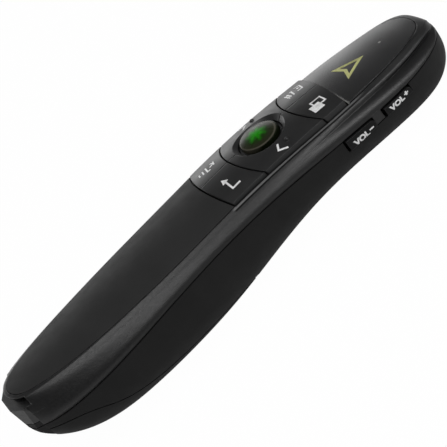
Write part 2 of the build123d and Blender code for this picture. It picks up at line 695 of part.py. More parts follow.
def laser_bezel():
    ring = tube_along_x(67.75, NOSE_FLAT_X + 0.35, 0, LASER_Z, BEZEL_RADIUS)
    return ring - tube_along_x(67, 70, 0, LASER_Z, 1.4)


def indicator_board():
    return block(LED_X - 4, LED_X + 4, -3.2, 3.2, 12.75, 13.35)


def indicator_led():
    return Pos(LED_X, 0, 13.35) * Cylinder(1.5, 2.4, align=(Align.CENTER, Align.CENTER, Align.MIN))


def controller_chip():
    return KEYPAD * (Pos(-6, 0, BOARD[0] - 0.9) * Box(6, 6, 0.9, align=(Align.CENTER, Align.CENTER, Align.MIN)))


def battery(y):
    """AAA cell with its terminal nub towards the nose."""
    nub = 0.9
    x1 = BATTERY_TAIL_X + BATTERY_LENGTH
    can = tube_along_x(BATTERY_TAIL_X, x1 - nub, y, BATTERY_Z, BATTERY_RADIUS)
    can = fillet(can.edges(), 0.45)
    return can + tube_along_x(x1 - nub - 0.1, x1, y, BATTERY_Z, 1.9)


def battery_spring(y):
    """Conical contact spring between the tail plate and the cell."""
    wire = 0.25
    turns = 3.2
    x0 = BATTERY_TAIL_X - 3.0 + wire
    x1 = BATTERY_TAIL_X - wire - 0.02
    path = Helix((x1 - x0) / turns, x1 - x0, 2.2, center=(x0, y, BATTERY_Z), direction=(1, 0, 0), cone_angle=22)
    profile = Plane(origin=path @ 0, z_dir=path % 0) * Circle(wire)
    return sweep(profile, path)


def tail_contacts():
    plates = []
    for y in (-BATTERY_Y, BATTERY_Y):
        inner = y * 0.35
        outer = y * 1.45
        plates.append(block(BATTERY_TAIL_X - 3.35, BATTERY_TAIL_X - 3.0, min(inner, outer), max(inner, outer),
                            BATTERY_Z - 2.4, BATTERY_Z + 2.6))
    return Compound(plates)


def front_contacts():
    x = BATTERY_TAIL_X + BATTERY_LENGTH
    plates = []
    for y in (-BATTERY_Y, BATTERY_Y):
        plates.append(block(x, x + 0.35, y - 4.0, y + 4.0, BATTERY_Z - 4.0, BATTERY_Z + 3.2))
    return Compound(plates)


def case_screws():
    screws = []
    for x in SCREW_XS:
        head = Pos(x, 0, 18.3) * Cylinder(1.7, 1.25, align=(Align.CENTER, Align.CENTER, Align.MIN))
        shank = Pos(x, 0, 19.5) * Cylinder(0.8, 3.4, align=(Align.CENTER, Align.CENTER, Align.MIN))
        screws.append(head + shank)
    return Compound(screws)


def receiver_case():
    outline = Pos(5.9, 10.8) * Rectangle(7.0, 13.6)
    outline = fillet(outline.vertices().group_by(Axis.X)[-1], 2.6)
    return extrude(Plane(origin=(-13.65, 0, 0), x_dir=(0, 1, 0), z_dir=(1, 0, 0)) * outline, 5.9)


def receiver_plug():
    """Metal USB plug shell, open at its end."""
    shell = block(-12.95, -8.45, -9.4, 2.4, 4.4, 16.4)
    cavity = block(-12.6, -8.8, -10, 1.5, 4.75, 16.05)
    tongue = block(-12.55, -10.9, -9.0, 1.5, 4.8, 16.0)
    return (shell - cavity) + tongue


# ---------------------------------------------------------------- all the pieces
def all_pieces():
    cap_layer = side_skin(-0.6, WALL + 0.05)
    flange_layer = lower_body(WALL + 0.15) - lower_hollow(WALL + 0.8, 3)
    key_outside = key_block(0, 0)
    key_inside = key_block(1.5, 1.3)

    pieces = {
        "lower_shell": lower_shell(),
        "upper_frame": upper_frame(),
        "battery_door": battery_door(),
        "palm_cover": palm_cover(),
        "nose_window": nose_window(),
        "laser_button": laser_button(),
        "button_light_guide": button_light_guide(),
        "button_collar": button_collar(),
        "circuit_board": circuit_board(),
        "controller_chip": controller_chip(),
        "key_switches": key_switches(),
        "side_board": side_board(),
        "side_switches": side_switches(),
        "power_slider": power_slider(),
        "power_switch_body": power_switch_body(),
        "laser_module": laser_module(),
        "laser_lens": laser_lens(),
        "laser_bezel": laser_bezel(),
        "indicator_board": indicator_board(),
        "indicator_led": indicator_led(),
        "battery_left": battery(BATTERY_Y),
        "battery_right": battery(-BATTERY_Y),
        "battery_spring_left": battery_spring(BATTERY_Y),
        "battery_spring_right": battery_spring(-BATTERY_Y),
        "tail_contacts": tail_contacts(),
        "front_contacts": front_contacts(),
        "case_screws": case_screws(),
        "receiver_case": receiver_case(),
        "receiver_plug": receiver_plug(),
        "laser_plunger": key_plunger(KEYPAD_X, 0),
    }
    for name in KEY_ROWS:
        pieces[name] = key(name, key_outside, key_inside)
        pieces[name.replace("_key", "_plunger")] = key_plunger(*KEY_SWITCH_POINTS[name])
    for name in VOLUME_KEYS:
        pieces[name] = volume_key(name, cap_layer, flange_layer)
        pieces[name.replace("_key", "_plunger")] = side_plunger(name)
    return pieces


if __name__ == "__main__":
    os.makedirs("parts", exist_ok=True)
    for node, shape in all_pieces().items():
        shape.label = node
        export_step(shape, "parts/" + node + ".step")
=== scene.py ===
"""Wireless presentation clicker: finish, key marks, floor, light and camera.

Every size is in millimetres unless it says otherwise; MM turns it into metres.
+X points to the nose, +Y to the left side, +Z up, and the table is at z = 0.
Colours are linear RGB.
"""
import json
import math

import bmesh
import bpy
from mathutils import Matrix, Vector
from mathutils.bvhtree import BVHTree

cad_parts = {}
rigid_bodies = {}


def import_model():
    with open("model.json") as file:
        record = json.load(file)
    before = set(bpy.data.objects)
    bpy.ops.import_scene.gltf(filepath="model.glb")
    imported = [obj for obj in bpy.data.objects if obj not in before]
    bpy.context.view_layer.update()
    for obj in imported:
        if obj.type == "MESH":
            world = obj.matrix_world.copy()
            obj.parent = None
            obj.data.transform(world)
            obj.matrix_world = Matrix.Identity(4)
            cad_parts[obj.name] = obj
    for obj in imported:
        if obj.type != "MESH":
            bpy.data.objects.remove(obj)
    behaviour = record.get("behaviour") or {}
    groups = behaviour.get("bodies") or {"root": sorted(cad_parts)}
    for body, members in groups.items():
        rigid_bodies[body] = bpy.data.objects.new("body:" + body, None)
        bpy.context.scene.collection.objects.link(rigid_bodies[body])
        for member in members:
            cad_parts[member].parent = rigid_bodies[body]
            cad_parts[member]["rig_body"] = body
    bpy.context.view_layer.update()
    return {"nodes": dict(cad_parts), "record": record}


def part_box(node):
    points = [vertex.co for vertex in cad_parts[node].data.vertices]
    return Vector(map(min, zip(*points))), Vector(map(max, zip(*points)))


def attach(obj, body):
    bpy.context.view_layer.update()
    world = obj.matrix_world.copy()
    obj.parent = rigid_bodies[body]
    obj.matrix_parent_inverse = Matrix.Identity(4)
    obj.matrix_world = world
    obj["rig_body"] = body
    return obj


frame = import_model()

MM = 0.001
NODES = frame["nodes"]


# ---------------------------------------------------------------- material helpers
NOISE_LOW, NOISE_HIGH = 0.3, 0.7      # nearly all of a noise texture lies between these


def grey(level):
    """A colour with no hue."""
    return (level, level, level)


def scaled(colour, share):
    """The colour made darker or lighter."""
    return tuple(c * share for c in colour)


def new_material(name):
    """A new material, its node tree and its shader."""
    mat = bpy.data.materials.new(name)
    mat.use_nodes = True
    tree = mat.node_tree
    return mat, tree, tree.nodes["Principled BSDF"]


def add(tree, kind, **values):
    """A node with its sockets (by name) or properties set."""
    node = tree.nodes.new(kind)
    for key, value in values.items():
        if key in node.inputs:
            node.inputs[key].default_value = value
        else:
            setattr(node, key, value)
    return node


def link(tree, a, b):
    """Join output a to input b."""
    tree.links.new(a, b)


def object_coords(tree):
    """Place on the object, in metres."""
    return add(tree, "ShaderNodeTexCoord").outputs["Object"]


def xyz(tree, vector):
    """The three parts of a vector socket."""
    node = add(tree, "ShaderNodeSeparateXYZ")
    link(tree, vector, node.inputs[0])
    return node.outputs


def maths(tree, operation, a, b=None):
    """A Math node; a and b are sockets or numbers."""
    node = add(tree, "ShaderNodeMath", operation=operation)
    for socket, value in zip(node.inputs, (a, b)):
        if isinstance(value, (int, float)):
            socket.default_value = value
        elif value is not None:
            link(tree, value, socket)
    return node.outputs[0]


def remap(tree, value, low, high, to_low, to_high):
    """Map low..high to to_low..to_high, clamped."""
    node = add(tree, "ShaderNodeMapRange")
    node.clamp = True
    numbers = {"From Min": low, "From Max": high, "To Min": to_low, "To Max": to_high}
    for key, number in numbers.items():
        node.inputs[key].default_value = number
    link(tree, value, node.inputs["Value"])
    return node.outputs["Result"]


def rise(tree, value, span):
    """0 before the span, 1 after it."""
    return remap(tree, value, *span, 0.0, 1.0)


def fall(tree, value, span):
    """1 before the span, 0 after it."""
    return remap(tree, value, *span, 1.0, 0.0)


def in_metres(span):
    """A span given in millimetres."""
    return span[0] * MM, span[1] * MM


def noise(tree, size, detail=2.0, rough=0.5):
    """Noise whose blobs are about size millimetres across."""
    node = add(tree, "ShaderNodeTexNoise", Scale=1.0 / (size * MM), Detail=detail, Roughness=rough)
    link(tree, object_coords(tree), node.inputs["Vector"])
    return node.outputs["Fac"]


def varied(tree, size, detail, low, high):
    """Noise that wanders between low and high."""
    return remap(tree, noise(tree, size, detail), NOISE_LOW, NOISE_HIGH, low, high)


def mix_colour(tree, factor, a, b):
    """a at factor 0, b at factor 1; each is a colour or a socket."""
    node = add(tree, "ShaderNodeMix", data_type="RGBA")
    link(tree, factor, node.inputs["Factor"])
    for name, value in (("A", a), ("B", b)):
        socket = [s for s in node.inputs if s.name == name and s.type == "RGBA"][0]
        if isinstance(value, tuple):
            socket.default_value = (*value, 1.0)
        else:
            link(tree, value, socket)
    return [s for s in node.outputs if s.type == "RGBA"][0]


def rounded(tree, radius, samples):
    """The normal with every edge rounded off at this radius."""
    return add(tree, "ShaderNodeBevel", samples=samples, Radius=radius * MM)


def bumpy(tree, shader, relief, height, strength, under=None):
    """Give the shader a relief of this height, over the normal under it."""
    bump = add(tree, "ShaderNodeBump", Distance=height * MM, Strength=strength)
    link(tree, relief, bump.inputs["Height"])
    if under:
        link(tree, under, bump.inputs["Normal"])
    link(tree, bump.outputs["Normal"], shader.inputs["Normal"])


# ---------------------------------------------------------------- edges, gaps and seams
MASK_SAMPLES = 6                      # rays of a bevel or occlusion node that only makes a mask
EDGE_SAMPLES = 8                      # of one that rounds an edge, or finds the gaps between rows
SHOULDER_SAMPLES = 16                 # of one that also rounds the wide shoulders
EDGE_TURN = (0.995, 0.9)              # cosine between the plain and the rounded normal
ROW_TURN = (0.12, 0.4)                # how far a key's rim leans towards the next row
OPEN_SHARE = (0.4, 0.85)              # open share of the sky, from deep in a gap to plain surface


def edge_mask(tree, radius):
    """1 along outside edges, 0 on plain surface: where a bevel would turn the normal."""
    dot = add(tree, "ShaderNodeVectorMath", operation="DOT_PRODUCT")
    link(tree, rounded(tree, radius, MASK_SAMPLES).outputs["Normal"], dot.inputs[0])
    link(tree, add(tree, "ShaderNodeNewGeometry").outputs["Normal"], dot.inputs[1])
    return rise(tree, dot.outputs["Value"], EDGE_TURN)


def facing_edge(tree, radius, axis, sign, span):
    """1 on edges that round off towards one way: axis 0, 1 or 2, and its sign."""
    normal = xyz(tree, rounded(tree, radius, MASK_SAMPLES).outputs["Normal"])
    turned = rise(tree, maths(tree, "MULTIPLY", normal[axis], sign), span)
    return maths(tree, "MULTIPLY", turned, edge_mask(tree, radius))


def row_gap_shade_mask(tree, radius):
    """1 where a key rounds off into the gap before the next row: where painted shade goes."""
    turned = add(tree, "ShaderNodeVectorMath", operation="SUBTRACT")
    link(tree, rounded(tree, radius, EDGE_SAMPLES).outputs["Normal"], turned.inputs[0])
    link(tree, add(tree, "ShaderNodeNewGeometry").outputs["Normal"], turned.inputs[1])
    lean = xyz(tree, turned.outputs["Vector"])[0]
    return rise(tree, maths(tree, "ABSOLUTE", lean), ROW_TURN)


def gap_shade_mask(tree, reach):
    """1 on open surface, 0 deep in a gap narrower than reach; painted shade goes where it is low.
    """
    node = add(tree, "ShaderNodeAmbientOcclusion", samples=MASK_SAMPLES, Distance=reach * MM)
    return rise(tree, node.outputs["AO"], OPEN_SHARE)


# ---------------------------------------------------------------- the frame's rim and shoulders
# Plan outlines that end in half a superellipse: where that starts, its tip, its half width and
# its power.
COVER_OUTLINE = (-8.0, -66.9, 11.85, 2.5)
PAD_OUTLINE = (5.0, 66.8, 12.1, 3.0)
ALONG_LEAST = 0.0001                  # share of the reach; before the start, width alone counts

# Soft shoulders: distance outside the palm cover, then where they begin at the tail and where
# they end along the keys.
SHOULDER_BESIDE = (0.7, 1.5)
SHOULDER_BEGINS = (-65.0, -62.0)
SHOULDER_ENDS = (8.0, 28.0)

# Rim beside the keys, painted with a highlight along its edge and a band of painted shade outside
# it: where they begin and end in x, then distances outside the pad.
RIM_BEGINS = (-0.6, 0.2)
RIM_ENDS = (39.0, 43.0)
LIP_OUTER = (0.42, 0.52)
GROOVE_INNER = (0.42, 0.55)
GROOVE_OUTER = (0.85, 1.0)

# Painted highlight on the rim's edge, then painted shade in the band outside it.
LIP_HIGHLIGHT_COLOUR = grey(0.1)
GROOVE_SHADE_COLOUR = grey(0.002)
# Painted shade along the parting line.
SEAM_SHADE_COLOUR = grey(0.0015)


def outline_distance(tree, start, tip, half_width, power):
    """Distance outside a plan outline: how far past its level, over the slope of that level."""
    place = xyz(tree, object_coords(tree))
    reach = (tip - start) * MM
    along = maths(tree, "DIVIDE", maths(tree, "SUBTRACT", place[0], start * MM), reach)
    along = maths(tree, "MAXIMUM", along, ALONG_LEAST)
    aside = maths(tree, "DIVIDE", maths(tree, "ABSOLUTE", place[1]), half_width * MM)
    total = maths(tree, "ADD", maths(tree, "POWER", along, power),
                  maths(tree, "POWER", aside, power))
    level = maths(tree, "POWER", total, 1.0 / power)
    slope_x = maths(tree, "DIVIDE", maths(tree, "POWER", along, power - 1.0), abs(reach))
    slope_y = maths(tree, "DIVIDE", maths(tree, "POWER", aside, power - 1.0), half_width * MM)
    squares = maths(tree, "ADD", maths(tree, "MULTIPLY", slope_x, slope_x),
                    maths(tree, "MULTIPLY", slope_y, slope_y))
    slope = maths(tree, "DIVIDE", maths(tree, "SQRT", squares),
                  maths(tree, "POWER", level, power - 1.0))
    return maths(tree, "DIVIDE", maths(tree, "SUBTRACT", level, 1.0), slope)


def shoulder_share(tree):
    """1 on the soft shoulders beside the palm cover, 0 at its rim, the tail and the front keys."""
    x = xyz(tree, object_coords(tree))[0]
    share = rise(tree, outline_distance(tree, *COVER_OUTLINE), in_metres(SHOULDER_BESIDE))
    share = maths(tree, "MULTIPLY", share, rise(tree, x, in_metres(SHOULDER_BEGINS)))
    return maths(tree, "MULTIPLY", share, fall(tree, x, in_metres(SHOULDER_ENDS)))


def rim_highlight_and_groove_shade(tree, base):
    """The frame's inner rim beside the keys: a painted highlight along its edge, then a dark band
    of painted shade outside it.
    """
    x = xyz(tree, object_coords(tree))[0]
    outside = outline_distance(tree, *PAD_OUTLINE)
    beside = maths(tree, "MULTIPLY", rise(tree, x, in_metres(RIM_BEGINS)),
                   fall(tree, x, in_metres(RIM_ENDS)))
    lip_highlight = maths(tree, "MULTIPLY", beside, fall(tree, outside, in_metres(LIP_OUTER)))
    band = maths(tree, "MULTIPLY", rise(tree, outside, in_metres(GROOVE_INNER)),
                 fall(tree, outside, in_metres(GROOVE_OUTER)))
    groove_shade = maths(tree, "MULTIPLY", beside, band)
    base = mix_colour(tree, lip_highlight, base, LIP_HIGHLIGHT_COLOUR)
    return mix_colour(tree, groove_shade, base, GROOVE_SHADE_COLOUR), groove_shade


# ---------------------------------------------------------------- kinds of finish
LEAST_ROUGHNESS = 0.05
EDGE_LIGHT_SHARE, EDGE_LIGHT_ADDED = 2.2, 0.004   # edges are painted this much lighter, as wear with a painted highlight, unless a colour is given
WEAR_BLOBS = 1.6                      # size of the breaks in that lighter edge
WEAR_SPAN = (0.35, 0.65)
WEAR_LEAST = 0.3                      # share of the edge colour left where it is faintest
GAP_SHADE_SHARE = 0.12                      # share of the colour left deep in a gap, as painted shade
GAP_ROUGHNESS = 0.9
ROW_SHADE_SHARE = 0.1                   # and in the painted shade at the rim towards the next row of keys
# Painted highlight on edges that face the tail: its radius and how far it has to turn.
BACK_EDGE_RADIUS = 0.9
BACK_EDGE_TURN = (0.04, 0.12)


def moulded(name, colour, roughness, grain=0.25, grain_height=0.006, spread=0.08, blotch=9.0,
            uneven=0.05, gloss_blotch=3.5, bevel=0.12, specular=0.5, coat=0.0, coat_roughness=0.1,
            edge_light_and_wear=None, gap_shade_reach=None, shoulder=None, row_gap_shade=None, seam_shade=None, back_edge_highlight=None):
    """Moulded plastic: spark-eroded grain, uneven gloss, rounded edges with wear and a painted
    highlight.

    spread and uneven are how far colour and roughness wander, in blobs of blotch and gloss_blotch.
    bevel and shoulder are the radii of plain edges and of the palm's shoulders. dirt is the width
    of the gaps that get painted shade. worn is the colour of edges, wear with a painted highlight;
    on the window it is painted shade. back_edge_highlight is the colour of a painted highlight on
    edges facing the tail, row_gap_shade the radius of the painted shade on rims between rows, and
    seam the radius, the side and the turn of the painted shade along the parting line.
    """
    mat, tree, shader = new_material(name)
    shader.inputs["Specular IOR Level"].default_value = specular
    shader.inputs["Coat Weight"].default_value = coat
    shader.inputs["Coat Roughness"].default_value = coat_roughness

    base = mix_colour(tree, varied(tree, blotch, detail=3.0, low=0.0, high=1.0),
                      scaled(colour, 1 - spread), scaled(colour, 1 + spread))
    gloss = varied(tree, gloss_blotch, detail=3.0, low=max(LEAST_ROUGHNESS, roughness - uneven),
                   high=roughness + uneven)
    round_edge = rounded(tree, bevel, SHOULDER_SAMPLES if shoulder else EDGE_SAMPLES)

    edges = edge_mask(tree, bevel)
    if shoulder:
        soft = shoulder_share(tree)
        edges = maths(tree, "MULTIPLY", edges, maths(tree, "SUBTRACT", 1.0, soft))
        radius = remap(tree, soft, 0.0, 1.0, bevel * MM, shoulder * MM)
        link(tree, radius, round_edge.inputs["Radius"])
    # Edges take the worn colour: wear with a painted highlight, and painted shade round the
    # window's outline.
    breaks = remap(tree, noise(tree, WEAR_BLOBS, detail=4.0), *WEAR_SPAN, WEAR_LEAST, 1.0)
    edge_light_and_wear = edge_light_and_wear or tuple(min(1.0, c * EDGE_LIGHT_SHARE + EDGE_LIGHT_ADDED) for c in colour)
    base = mix_colour(tree, maths(tree, "MULTIPLY", edges, breaks), base, edge_light_and_wear)
    # Painted highlight on the rim's edge beside the keys, painted shade in a band outside it.
    if shoulder:
        base, groove_shade = rim_highlight_and_groove_shade(tree, base)
        gloss = maths(tree, "MAXIMUM", gloss, groove_shade)
    # Painted shade: the colour darkens deep in gaps between parts.
    if gap_shade_reach:
        open_surface = gap_shade_mask(tree, gap_shade_reach)
        base = mix_colour(tree, open_surface, scaled(colour, GAP_SHADE_SHARE), base)
        dull = remap(tree, open_surface, 0.0, 1.0, GAP_ROUGHNESS, 0.0)
        gloss = maths(tree, "MAXIMUM", gloss, dull)
    # Painted shade on the key rims that round off into the gaps between rows.
    if row_gap_shade:
        row_shade = row_gap_shade_mask(tree, row_gap_shade)
        base = mix_colour(tree, row_shade, base, scaled(colour, ROW_SHADE_SHARE))
    # Painted shade on the edges beside the parting line.
    if seam_shade:
        width, side, turn = seam_shade
        facing = facing_edge(tree, width, axis=2, sign=side, span=turn)
        base = mix_colour(tree, facing, base, SEAM_SHADE_COLOUR)
    # Painted highlight on edges facing the tail.
    if back_edge_highlight:
        behind = facing_edge(tree, BACK_EDGE_RADIUS, axis=0, sign=-1.0, span=BACK_EDGE_TURN)
        base = mix_colour(tree, behind, base, back_edge_highlight)

    link(tree, base, shader.inputs["Base Color"])
    link(tree, gloss, shader.inputs["Roughness"])
    bumpy(tree, shader, noise(tree, grain, rough=0.6), grain_height, strength=1.0,
          under=round_edge.outputs["Normal"])
    return mat


INK_COVER = (0.3, 0.6)                # noise from thin to full ink
LINES_SCALE = 600.0                   # drawn lines of sheet metal, per metre
LINES_STRETCH = (1.0, 12.0, 12.0)
LINES_GLOSS = (-0.08, 0.1)            # how far they move the roughness
DARK_SHARE = 0.8                      # darker side of drawn lines and of uneven ink


def metal(name, colour, roughness):
    """Sheet metal with a drawn grain along X."""
    mat, tree, shader = new_material(name)
    shader.inputs["Metallic"].default_value = 1.0
    mapping = add(tree, "ShaderNodeMapping")
    mapping.inputs["Scale"].default_value = LINES_STRETCH
    link(tree, object_coords(tree), mapping.inputs["Vector"])
    texture = add(tree, "ShaderNodeTexNoise", Scale=LINES_SCALE, Detail=3.0)
    link(tree, mapping.outputs["Vector"], texture.inputs["Vector"])
    lines = texture.outputs["Fac"]
    shade = mix_colour(tree, lines, scaled(colour, DARK_SHARE), colour)
    link(tree, shade, shader.inputs["Base Color"])
    gloss = remap(tree, lines, NOISE_LOW, NOISE_HIGH, roughness + LINES_GLOSS[0],
                  roughness + LINES_GLOSS[1])
    link(tree, gloss, shader.inputs["Roughness"])
    bumpy(tree, shader, lines, height=0.004, strength=0.6)
    return mat


def print_ink(name, colour):
    """Screen-printed ink, slightly uneven."""
    mat, tree, shader = new_material(name)
    cover = rise(tree, noise(tree, size=0.5, detail=3.0), INK_COVER)
    shade = mix_colour(tree, cover, scaled(colour, DARK_SHARE), colour)
    link(tree, shade, shader.inputs["Base Color"])
    shader.inputs["Roughness"].default_value = 0.5
    bumpy(tree, shader, noise(tree, size=0.25), height=0.003, strength=0.5)
    return mat


# ---------------------------------------------------------------- finishes
SHELL = grey(0.0125)
FRAME = (0.0075, 0.0075, 0.0077)
COVER = grey(0.022)
KEYS = (0.0128, 0.0128, 0.013)
SIDE_KEYS = (0.0045, 0.0045, 0.0047)
WINDOW = (0.004, 0.004, 0.0044)
BOARD = (0.01, 0.09, 0.035)
LAMP = (0.75, 0.75, 0.68)
NYLON = (0.7, 0.7, 0.68)

# Painted shade along the parting line: its radius, which way its edge faces, and how far it has to
# turn.
SHELL_SEAM_SHADE = (0.4, 1.0, (0.0, 0.2))
FRAME_SEAM_SHADE = (0.55, -1.0, (-0.25, 0.05))

# worn gives edges wear with a painted highlight, and on the window painted shade; dirt,
# row_gap_shade and seam give painted shade, back_edge_highlight a painted highlight.
MATERIALS = {
    "shell": moulded("shell_plastic", SHELL, 0.55, grain=0.5, grain_height=0.022, specular=0.1,
                     bevel=0.22, edge_light_and_wear=grey(0.03), gap_shade_reach=0.6, seam_shade=SHELL_SEAM_SHADE),
    "frame": moulded("frame_plastic", FRAME, 0.4, grain=0.45, grain_height=0.022, spread=0.25,
                     blotch=0.6, gloss_blotch=0.5, bevel=0.3, specular=0.38, edge_light_and_wear=grey(0.05),
                     gap_shade_reach=0.8, shoulder=2.4, seam_shade=FRAME_SEAM_SHADE),
    "cover": moulded("cover_soft", COVER, 0.65, grain=0.3, specular=0.12, gap_shade_reach=0.8),
    "keys": moulded("key_plastic", KEYS, 0.4, grain=0.35, grain_height=0.012, bevel=0.22,
                    specular=0.35, gap_shade_reach=1.2, row_gap_shade=0.4),
    "side_keys": moulded("side_key_plastic", SIDE_KEYS, 0.4, bevel=0.2, specular=0.13,
                         edge_light_and_wear=grey(0.045), gap_shade_reach=0.8),
    "window": moulded("window_smoked", WINDOW, 0.24, grain=0.8, grain_height=0.0006, uneven=0.01,
                      bevel=0.3, coat=0.25, coat_roughness=0.2, edge_light_and_wear=grey(0.001), gap_shade_reach=0.6,
                      back_edge_highlight=(0.22, 0.22, 0.21)),
    "collar": moulded("collar_gloss", grey(0.005), 0.4, bevel=0.1, specular=0.15),
    "board": moulded("board_mask", BOARD, 0.35, grain=1.2, bevel=0.05),
    "chip": moulded("chip_plastic", grey(0.015), 0.5, bevel=0.06),
    "contact": metal("contact_steel", (0.62, 0.6, 0.56), 0.3),
    "brass": metal("barrel_brass", (0.7, 0.5, 0.2), 0.28),
    "lamp": moulded("lamp_diffuser", LAMP, 0.3, bevel=0.1),
    "cell": metal("cell_jacket", (0.32, 0.34, 0.38), 0.32),
    "screw": metal("screw_steel", (0.4, 0.4, 0.41), 0.35),
    "white": moulded("plunger_nylon", NYLON, 0.4, bevel=0.06),
}


def around(tree, node_name):
    """Distance in plan from the middle of a node, and the angle round it."""
    low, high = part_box(node_name)
    centre = (low + high) / 2
    place = xyz(tree, object_coords(tree))
    dx = maths(tree, "SUBTRACT", place[0], centre.x)
    dy = maths(tree, "SUBTRACT", place[1], centre.y)
    squares = maths(tree, "ADD", maths(tree, "MULTIPLY", dx, dx),
                    maths(tree, "MULTIPLY", dy, dy))
    return maths(tree, "SQRT", squares), maths(tree, "ARCTAN2", dy, dx)


# The star in the laser button's cap, and how far its edge moves in and out along its rays.
STAR_COLOUR = (0.008, 0.2, 0.0)
STAR_EDGE = (0.8, 2.9)
STAR_RAYS = 7.0
RAY_REACH = 0.45
RAY_UNEVEN = 0.9
DEEP_GREEN = (0.008, 0.026, 0.003)    # round the star
# Rings further out: the radii between which each takes over, and its colour.
DOME_RINGS = (
    ((2.8, 3.9), (0.016, 0.018, 0.009)),      # olive
    ((4.55, 4.8), (0.06, 0.056, 0.042)),      # painted highlight round the rim
    ((5.0, 5.15), (0.004, 0.006, 0.002)),     # dark skirt
)


def laser_dome():
    """Cap of the laser button: a green star in the middle, dark olive round it, a painted highlight
    round its rim.
    """
    mat, tree, shader = new_material("laser_dome")
    reach, angle = around(tree, "laser_button")
    rays = maths(tree, "COSINE", maths(tree, "MULTIPLY", angle, STAR_RAYS))
    wander = varied(tree, size=1.2, detail=2.0, low=-0.5, high=0.5)
    uneven = maths(tree, "MULTIPLY", wander, RAY_UNEVEN * MM)
    star = maths(tree, "ADD", maths(tree, "MULTIPLY", rays, RAY_REACH * MM), uneven)
    inside = maths(tree, "SUBTRACT", reach, star)
    colour = mix_colour(tree, rise(tree, inside, in_metres(STAR_EDGE)), STAR_COLOUR, DEEP_GREEN)
    for span, ring in DOME_RINGS:
        colour = mix_colour(tree, rise(tree, reach, in_metres(span)), colour, ring)
    link(tree, colour, shader.inputs["Base Color"])
    shader.inputs["Specular IOR Level"].default_value = 0.08
    gloss = varied(tree, size=2.0, detail=3.0, low=0.25, high=0.35)
    link(tree, gloss, shader.inputs["Roughness"])
    round_edge = rounded(tree, radius=0.3, samples=EDGE_SAMPLES)
    bumpy(tree, shader, noise(tree, size=0.9), height=0.003, strength=0.6,
          under=round_edge.outputs["Normal"])
    return mat


def clear_lens():
    """Clear moulding of the laser lens."""
    mat, tree, shader = new_material("clear_lens")
    shader.inputs["Base Color"].default_value = (0.86, 0.9, 0.93, 1.0)
    shader.inputs["Transmission Weight"].default_value = 1.0
    shader.inputs["IOR"].default_value = 1.45
    gloss = varied(tree, size=2.0, detail=3.0, low=0.04, high=0.1)
    link(tree, gloss, shader.inputs["Roughness"])
    bumpy(tree, shader, noise(tree, size=1.1), height=0.002, strength=0.4)
    return mat


GUIDE_GREENS = ((0.028, 0.33, 0.006), (0.04, 0.42, 0.01))
GUIDE_RIM = (0.03, 0.045, 0.014)
GUIDE_RIM_SPAN = (2.2, 4.0)


def green_guide():
    """Green light guide: bright in the middle, dark olive towards its rim."""
    mat, tree, shader = new_material("green_guide")
    reach, _ = around(tree, "button_light_guide")
    blobs = varied(tree, size=1.5, detail=2.0, low=0.0, high=1.0)
    tint = mix_colour(tree, blobs, *GUIDE_GREENS)
    rim = rise(tree, reach, in_metres(GUIDE_RIM_SPAN))
    link(tree, mix_colour(tree, rim, tint, GUIDE_RIM), shader.inputs["Base Color"])
    shader.inputs["Roughness"].default_value = 0.3
    bumpy(tree, shader, noise(tree, size=0.4), height=0.004, strength=0.5)
    return mat


MATERIALS["clear"] = laser_dome()
MATERIALS["lens"] = clear_lens()
MATERIALS["green"] = green_guide()

for part in frame["record"]["subparts"]:
    node = NODES[part["node"]]
    node.data.materials.clear()
    node.data.materials.append(MATERIALS[part["material_slot"]])

WHITE_INK = print_ink("white_ink", grey(0.74))
YELLOW_INK = print_ink("yellow_ink", (0.44, 0.44, 0.16))
SPOT_INK = print_ink("spot_ink", (0.24, 0.24, 0.23))


# ---------------------------------------------------------------- printed marks
INK_LIFT = 0.03                       # ink stands this far off the surface
INK_STEP = 0.45                       # longest edge in a mark, so that it follows the crowned keys
REFINE_ROUNDS = 7
PLAN_HEIGHT = 20                      # a mark is drawn flat at this height, then dropped
DROP_FROM = 100                       # and the drop starts this far back
SHARPEST_MITRE = 0.4
DOWN = Vector((0, 0, -1))
INWARD = Vector((0, 1, 0))            # from the right side into the body


def refine(bm):
    """Split edges until none is longer than INK_STEP."""
    for _ in range(REFINE_ROUNDS):
        bmesh.ops.triangulate(bm, faces=bm.faces[:])
        too_long = [e for e in bm.edges if e.calc_length() > INK_STEP * MM]
        if not too_long:
            return
        bmesh.ops.subdivide_edges(bm, edges=too_long, cuts=1)


def surface_of(node):
    """A ray-cast tree of a node's mesh."""
    mesh = NODES[node].data
    return BVHTree.FromPolygons([v.co for v in mesh.vertices], [p.vertices for p in mesh.polygons])


def lay_on(bm, node, direction, name, ink):
    """Drop a flat mark onto a node along direction and keep it as a piece of the node's body."""
    tree = surface_of(node)
    body = NODES[node]["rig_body"]
    for v in bm.verts:
        hit, normal, _, _ = tree.ray_cast(v.co - direction * DROP_FROM * MM, direction)
        if hit is None:
            hit, normal, _, _ = tree.find_nearest(v.co)
        if normal.dot(direction) > 0:
            normal = -normal
        v.co = hit + normal * INK_LIFT * MM
    mesh = bpy.data.meshes.new(name)
    bm.to_mesh(mesh)
    bm.free()
    mesh.materials.append(ink)
    for polygon in mesh.polygons:
        polygon.use_smooth = True
    piece = bpy.data.objects.new(name, mesh)
    bpy.context.scene.collection.objects.link(piece)
    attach(piece, body)


def add_outline(bm, points):
    """A filled shape from its corner points in plan."""
    bm.faces.new([bm.verts.new((x * MM, y * MM, PLAN_HEIGHT * MM)) for x, y in points])


